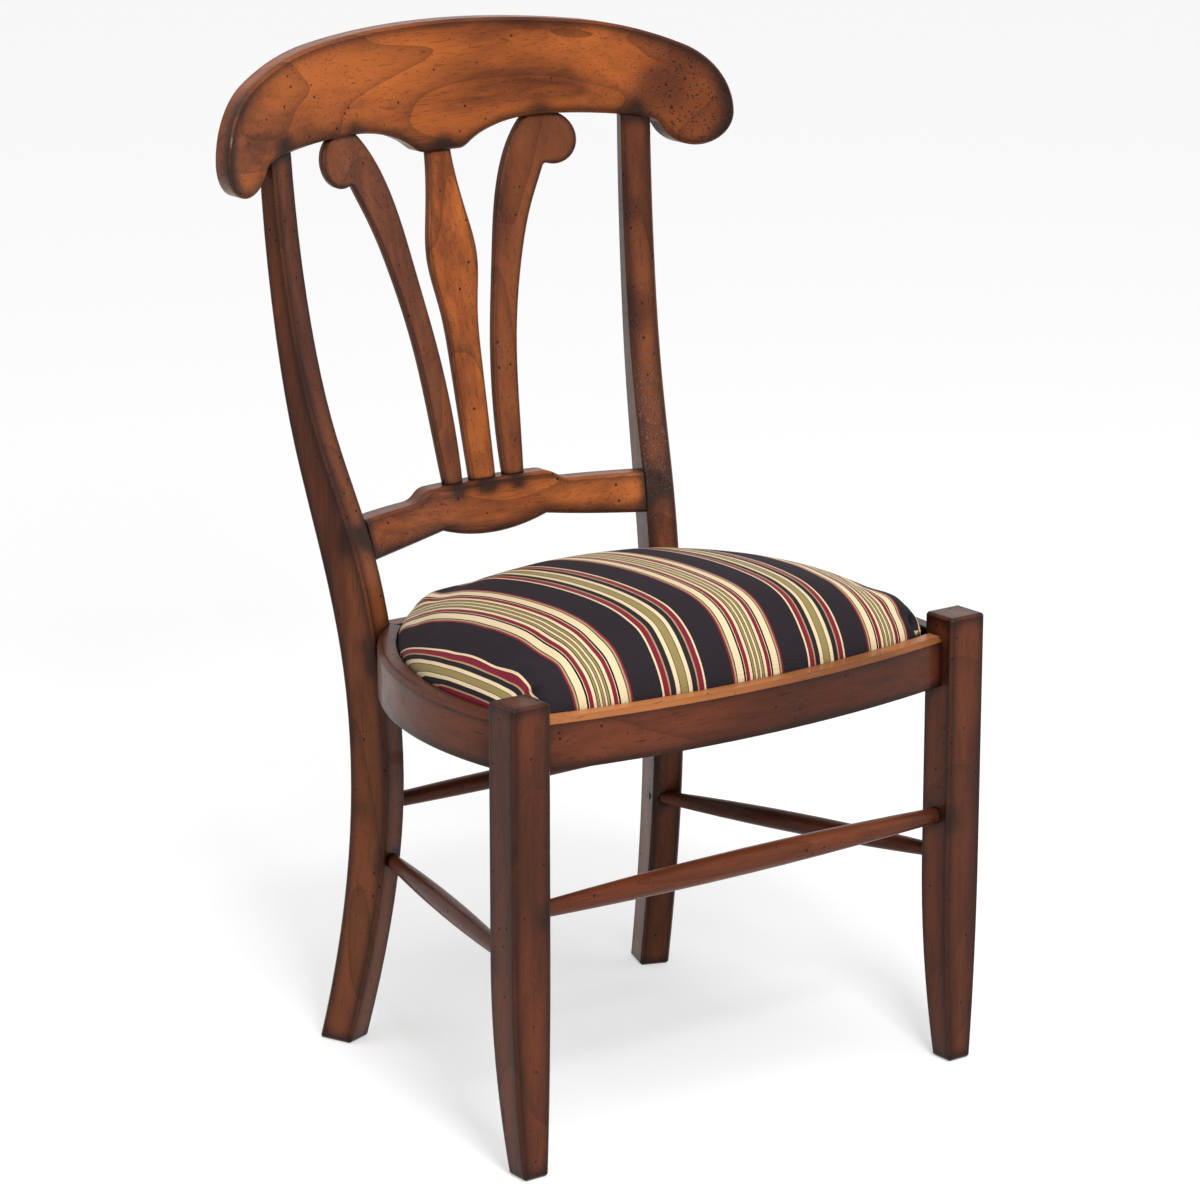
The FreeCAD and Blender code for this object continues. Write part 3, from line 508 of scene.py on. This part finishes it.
def dress_back():
    dress(frame_wood("crest_wood", "X", red, seed=1, worn_spots=right_lobe), "crest_rail")
    # The back rail and centre splat take the brighter copy of the red: painted light where they face up to
    # the lamps
    dress(frame_wood("back_rail_wood", "X", lit_red, seed=2), "lower_back_rail")
    dress(frame_wood("centre_splat_wood", "Z", lit_red, seed=3, glaze=thin_glaze_width), "splat_center")
    dress(frame_wood("left_splat_wood", "Z", russet, seed=4, glaze=thin_glaze_width), "splat_left")
    dress(frame_wood("right_splat_wood", "Z", russet, seed=5, glaze=thin_glaze_width), "splat_right")
    dress(frame_wood("left_post_wood", "Z", russet, seed=6), "rear_post_left")
    dress(frame_wood("right_post_wood", "Z", russet, seed=7, worn_spots=right_post_edge), "rear_post_right")


def dress_base():
    dress(frame_wood("left_leg_wood", "Z", brown, seed=8), "front_leg_left")
    dress(frame_wood("right_leg_wood", "Z", brown, seed=9), "front_leg_right")
    # The front rail's top gets painted light where it faces up
    dress(frame_wood("front_rail_wood", "X", brown, seed=10, lit_top=rail_top_light), "seat_rail_front")
    dress(frame_wood("side_rail_wood", "Y", brown, seed=11), "seat_rail_left", "seat_rail_right")
    dress(frame_wood("cross_stretcher_wood", "X", brown, seed=12, glaze=thin_glaze_width),
          "seat_rail_rear", "stretcher_front", "stretcher_rear")
    dress(frame_wood("side_stretcher_wood", "Y", brown, seed=13, glaze=thin_glaze_width),
          "stretcher_left", "stretcher_right")


def dress_underside():
    blocks = ["corner_block_" + end for end in block_ends]
    dress(bare_wood("block_wood_grain", "X", block_tones), *blocks)
    dress(bare_wood("plywood_grain", "Y", plywood_tones), "seat_board")
    dress(foam_material("foam_cells"), "seat_foam")
    dress(dust_cloth("spun_cloth"), "dust_cover")


def new_object(name, data):
    made = bpy.data.objects.new(name, data)
    bpy.context.scene.collection.objects.link(made)
    return made


def apply_modifiers(piece):
    """Keep the shape that the piece's modifiers give it, and drop them."""
    shape = bpy.data.meshes.new_from_object(piece.evaluated_get(bpy.context.evaluated_depsgraph_get()))
    piece.modifiers.clear()
    piece.data = shape


def cushion_form():
    """Closed outer form of the seat cover: the hull of the CAD solid, remeshed."""
    form = bmesh.new()
    form.from_mesh(nodes["seat_cover"].data)
    hull = bmesh.ops.convex_hull(form, input=form.verts)
    inside = list({item for item in hull["geom_interior"] + hull["geom_unused"]
                   if isinstance(item, bmesh.types.BMVert)})
    bmesh.ops.delete(form, geom=inside, context="VERTS")
    mesh = bpy.data.meshes.new("seat_cushion")
    form.to_mesh(mesh)
    form.free()
    piece = new_object("seat_cushion", mesh)
    remesh = piece.modifiers.new("Remesh", "REMESH")
    remesh.mode = "VOXEL"
    remesh.voxel_size = cushion_voxel
    apply_modifiers(piece)
    return piece


def above_lip(vertex, lip, rise):
    """0 where the cover is tucked in behind the rails, 1 from the rise above their lip on."""
    return min(1.0, max(0.0, (vertex.co.z - lip) / rise))


def shrink(piece, lip):
    """Draw the cover in, so that the pressure fills it out again."""
    for vertex in piece.data.vertices:
        vertex.co -= vertex.normal * cushion_shrink * above_lip(vertex, lip, swell_rise)


def puff(piece, lip):
    """Swell the cover by simulated pressure. The tucked edge stays, and no point moves past the cap."""
    hold = piece.vertex_groups.new(name="tucked")
    for vertex in piece.data.vertices:
        hold.add([vertex.index], 1.0 - above_lip(vertex, lip, swell_rise), "REPLACE")
    before = [vertex.co.copy() for vertex in piece.data.vertices]
    cloth = piece.modifiers.new("Cloth", "CLOTH")
    cloth.settings.use_pressure = True
    cloth.settings.uniform_pressure_force = cushion_pressure
    cloth.settings.vertex_group_mass = hold.name
    cloth.settings.effector_weights.gravity = 0.0
    cloth.settings.tension_stiffness = cushion_stiffness
    cloth.settings.compression_stiffness = cushion_stiffness
    cloth.settings.bending_stiffness = cushion_bending
    cloth.point_cache.frame_start = 1
    cloth.point_cache.frame_end = cushion_frames
    for step in range(1, cushion_frames + 1):
        bpy.context.scene.frame_set(step)
    apply_modifiers(piece)
    for vertex, start in zip(piece.data.vertices, before):
        move = vertex.co - start
        if move.length > cushion_cap:
            vertex.co = start + move.normalized() * cushion_cap
    bpy.context.scene.frame_set(1)


def soften(piece, lip, rounds):
    """Even out the cover above the rails."""
    hold = piece.vertex_groups.get("tucked") or piece.vertex_groups.new(name="tucked")
    for vertex in piece.data.vertices:
        hold.add([vertex.index], above_lip(vertex, lip, soften_rise), "REPLACE")
    smooth = piece.modifiers.new("Smooth", "SMOOTH")
    smooth.factor = cushion_smooth
    smooth.iterations = rounds
    smooth.vertex_group = hold.name
    apply_modifiers(piece)


def refine(piece):
    """One subdivision of the cover."""
    finer = piece.modifiers.new("Subdivision", "SUBSURF")
    finer.levels = 1
    finer.render_levels = 1
    apply_modifiers(piece)


def keep_clear(piece, inner, gap):
    """Push the cover out where the board or foam inside it would come through."""
    wrap = piece.modifiers.new("Shrinkwrap", "SHRINKWRAP")
    wrap.target = nodes[inner]
    wrap.wrap_method = "NEAREST_SURFACEPOINT"
    wrap.wrap_mode = "OUTSIDE"
    wrap.offset = gap
    apply_modifiers(piece)


def spread(piece, values, rounds):
    """Even out one number per point over the points joined to it."""
    links = [[] for _ in values]
    for edge in piece.data.edges:
        a, b = edge.vertices
        links[a].append(b)
        links[b].append(a)
    for _ in range(rounds):
        sums = [value + sum(values[k] for k in near) for value, near in zip(values, links)]
        values = [total / (len(near) + 1) for total, near in zip(sums, links)]
    return values


def stripe_places(piece):
    """Where each point lies across the cloth: its x, and on side walls its drop below the shoulder too."""
    sideways = []
    for vertex in piece.data.vertices:
        plan = vertex.normal.xy
        sideways.append(plan.x ** 2 / max(plan.length_squared, least_plan))
    sideways = spread(piece, sideways, stripe_even)
    places = piece.data.attributes.new("stripe", "FLOAT", "POINT")
    for vertex, share in zip(piece.data.vertices, sideways):
        fall = max(0.0, cover_shoulder - vertex.co.z)
        extra = share * fall ** 2 / (fall + cover_bend)
        places.data[vertex.index].value = vertex.co.x + math.copysign(extra, vertex.co.x)


def make_cushion():
    """Cover of the slip seat, swollen over the foam and tucked in behind the rails."""
    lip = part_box("seat_rail_front")[1].z
    piece = cushion_form()
    soften(piece, lip, cushion_round)
    shrink(piece, lip)
    puff(piece, lip)
    soften(piece, lip, cushion_even)
    keep_clear(piece, "seat_foam", foam_clearance)
    soften(piece, lip, cushion_even)
    refine(piece)
    keep_clear(piece, "seat_board", board_clearance)
    stripe_places(piece)
    for face in piece.data.polygons:
        face.use_smooth = True
    piece.data.materials.clear()
    piece.data.materials.append(seat_fabric("striped_fabric"))
    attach(piece, "slip_seat")
    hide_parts("seat_cover")


def add_ring(form, centre, first, second, radii):
    """Ring of points in the plane of two directions, with a radius for each point."""
    ring = []
    for step, radius in enumerate(radii):
        angle = 2 * math.pi * step / len(radii)
        reach = first * (math.cos(angle) * radius) + second * (math.sin(angle) * radius)
        ring.append(form.verts.new(centre + reach))
    return ring


def join_rings(form, rings):
    """Four-sided faces from each ring to the next."""
    for here, there in zip(rings, rings[1:]):
        for step in range(len(here)):
            after = (step + 1) % len(here)
            form.faces.new((here[step], here[after], there[after], there[step]))


def add_screw(form, place, facing):
    """Countersunk head with a cross recess, its face towards facing."""
    side = facing.orthogonal().normalized()
    third = facing.cross(side)
    rings = []
    for share, lift in screw_rings:
        radii = [screw_head * share] * screw_sides
        rings.append(add_ring(form, place + facing * lift, side, third, radii))
    radii = [screw_head * recess_notch] * screw_sides
    for step in range(0, screw_sides, screw_sides // recess_arms):
        radii[step] = screw_head * recess_arm
    rings.append(add_ring(form, place - facing * recess_depth, side, third, radii))
    join_rings(form, rings)
    form.faces.new(rings[-1])


def add_staple(form, place, way):
    """Crown of a staple: a bent wire."""
    side = Vector((-way.y, way.x, 0))
    up = Vector((0, 0, 1))
    rings = []
    for share, height in staple_route:
        centre = place + way * (share * staple_width) + up * height
        rings.append(add_ring(form, centre, side, up, [staple_wire] * staple_sides))
    join_rings(form, rings)
    form.faces.new(rings[0])
    form.faces.new(rings[-1])


def finish_piece(name, form, material, body):
    """Turn a form into a smooth piece that rides on a body."""
    mesh = bpy.data.meshes.new(name)
    bmesh.ops.recalc_face_normals(form, faces=form.faces)
    form.to_mesh(mesh)
    form.free()
    mesh.materials.append(material)
    for face in mesh.polygons:
        face.use_smooth = True
    piece = new_object(name, mesh)
    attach(piece, body)


def points_at(name, level, slack):
    """Points of a CAD node that lie at one height."""
    return [vertex.co for vertex in nodes[name].data.vertices if abs(vertex.co.z - level) < slack]


def make_block_screws(metal):
    """One screw up through the underside of each corner block into the seat."""
    for end in block_ends:
        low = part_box("corner_block_" + end)[0]
        under = points_at("corner_block_" + end, low.z, block_slack)
        middle = sum(under, Vector()) / len(under)
        form = bmesh.new()
        add_screw(form, Vector((middle.x, middle.y, low.z)), Vector((0, 0, -1)))
        finish_piece("block_screw_" + end, form, metal, "frame")


def outline_of(name, level, middle):
    """Points of a node's plan at one height, in order round the middle."""
    points = points_at(name, level, cover_slack)
    plan = {(round(point.x, plan_digits), round(point.y, plan_digits)) for point in points}
    ordered = sorted(plan, key=lambda spot: math.atan2(spot[1] - middle.y, spot[0] - middle.x))
    return [Vector((x, y, level)) for x, y in ordered]


def make_staples(metal):
    """Wire staples round the edge of the dust cover."""
    low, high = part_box("dust_cover")
    middle = (low + high) / 2
    outline = outline_of("dust_cover", low.z, middle)
    form = bmesh.new()
    travelled = 0.0
    for here, there in zip(outline, outline[1:] + outline[:1]):
        length = (there - here).length
        way = (there - here).normalized()
        while travelled < length:
            place = here + way * travelled
            inward = Vector((middle.x - place.x, middle.y - place.y, 0)).normalized()
            add_staple(form, place + inward * staple_inset, way)
            travelled += staple_step
        travelled -= length
    finish_piece("dust_cover_staples", form, metal, "slip_seat")


def floor_material(name):
    """White that keeps shadows, brighter for the camera and in reflections, and clear from below."""
    n = Nodes(name)
    n.set(Base_Color=floor_grey, Roughness=0.9, Specular_IOR_Level=0.0)
    path = n.make("LightPath")
    seen = n.either(path.outputs["Is Camera Ray"], path.outputs["Is Glossy Ray"])
    seen = n.either(seen, path.outputs["Is Transmission Ray"])
    glow = n.make("Emission", {"Color": white, "Strength": n.times(seen, floor_white)})
    both = n.make("AddShader")
    n.feed(both.inputs[0], n.shader.outputs[0])
    n.feed(both.inputs[1], glow.outputs[0])
    one_sided = n.make("MixShader", {"Fac": n.make("NewGeometry").outputs["Backfacing"]})
    n.feed(one_sided.inputs[1], both.outputs[0])
    n.feed(one_sided.inputs[2], n.make("BsdfTransparent").outputs[0])
    n.feed(n.tree.nodes["Material Output"].inputs["Surface"], one_sided.outputs[0])
    return n.material


def make_floor():
    """Plain white floor that shows from above only."""
    form = bmesh.new()
    bmesh.ops.create_grid(form, x_segments=2, y_segments=2, size=floor_half)
    mesh = bpy.data.meshes.new("studio_floor")
    form.to_mesh(mesh)
    form.free()
    mesh.materials.append(floor_material("studio_white"))
    floor = new_object("studio_floor", mesh)
    floor.location = (0, 0, -floor_drop)


def make_world():
    """White behind the chair for the camera and in reflections, an even grey light for everything else."""
    world = bpy.data.worlds.new("studio")
    bpy.context.scene.world = world
    world.use_nodes = True
    tree = world.node_tree
    sky = tree.nodes["Background"]
    sky.inputs["Color"].default_value = white
    path = tree.nodes.new("ShaderNodeLightPath")
    seen = path.outputs["Is Camera Ray"]
    for kind in ("Is Glossy Ray", "Is Transmission Ray"):
        either = tree.nodes.new("ShaderNodeMath")
        either.operation = "MAXIMUM"
        tree.links.new(seen, either.inputs[0])
        tree.links.new(path.outputs[kind], either.inputs[1])
        seen = either.outputs[0]
    level = tree.nodes.new("ShaderNodeMapRange")
    level.inputs["To Min"].default_value = world_light
    level.inputs["To Max"].default_value = 1.0
    tree.links.new(seen, level.inputs["Value"])
    tree.links.new(level.outputs["Result"], sky.inputs["Strength"])


def make_sun():
    """Soft light from overhead that falls evenly on the whole floor."""
    lamp = bpy.data.lights.new("overhead", "SUN")
    lamp.energy = sun_strength
    lamp.angle = math.radians(sun_spread)
    sun = new_object("overhead", lamp)
    sun.rotation_euler = (math.radians(sun_tilt[0]), math.radians(sun_tilt[1]), 0)


def make_softbox(name, place, size, power):
    """Rectangular lamp that faces the chair."""
    lamp = bpy.data.lights.new(name, "AREA")
    lamp.shape = "RECTANGLE"
    lamp.size, lamp.size_y = size
    lamp.energy = power
    softbox = new_object(name, lamp)
    softbox.location = place
    softbox.rotation_mode = "QUATERNION"
    softbox.rotation_quaternion = (Vector(softbox_aim) - Vector(place)).to_track_quat("-Z", "Y")


def make_camera():
    camera = bpy.data.cameras.new("photo_camera")
    camera.lens = camera_lens
    camera.sensor_width = camera_sensor
    camera.clip_end = camera_sight
    viewer = new_object("photo_camera", camera)
    viewer.location = camera_place
    viewer.rotation_euler = (math.radians(90 - camera_pitch), 0, math.radians(-camera_yaw))
    bpy.context.scene.camera = viewer


dress_back()
dress_base()
dress_underside()
make_cushion()
plated_steel = zinc("plated_steel")
make_block_screws(plated_steel)
make_staples(plated_steel)
make_floor()
make_world()
make_sun()
for softbox_values in softboxes:
    make_softbox(*softbox_values)
make_camera()
bpy.context.scene.view_settings.view_transform = "Standard"
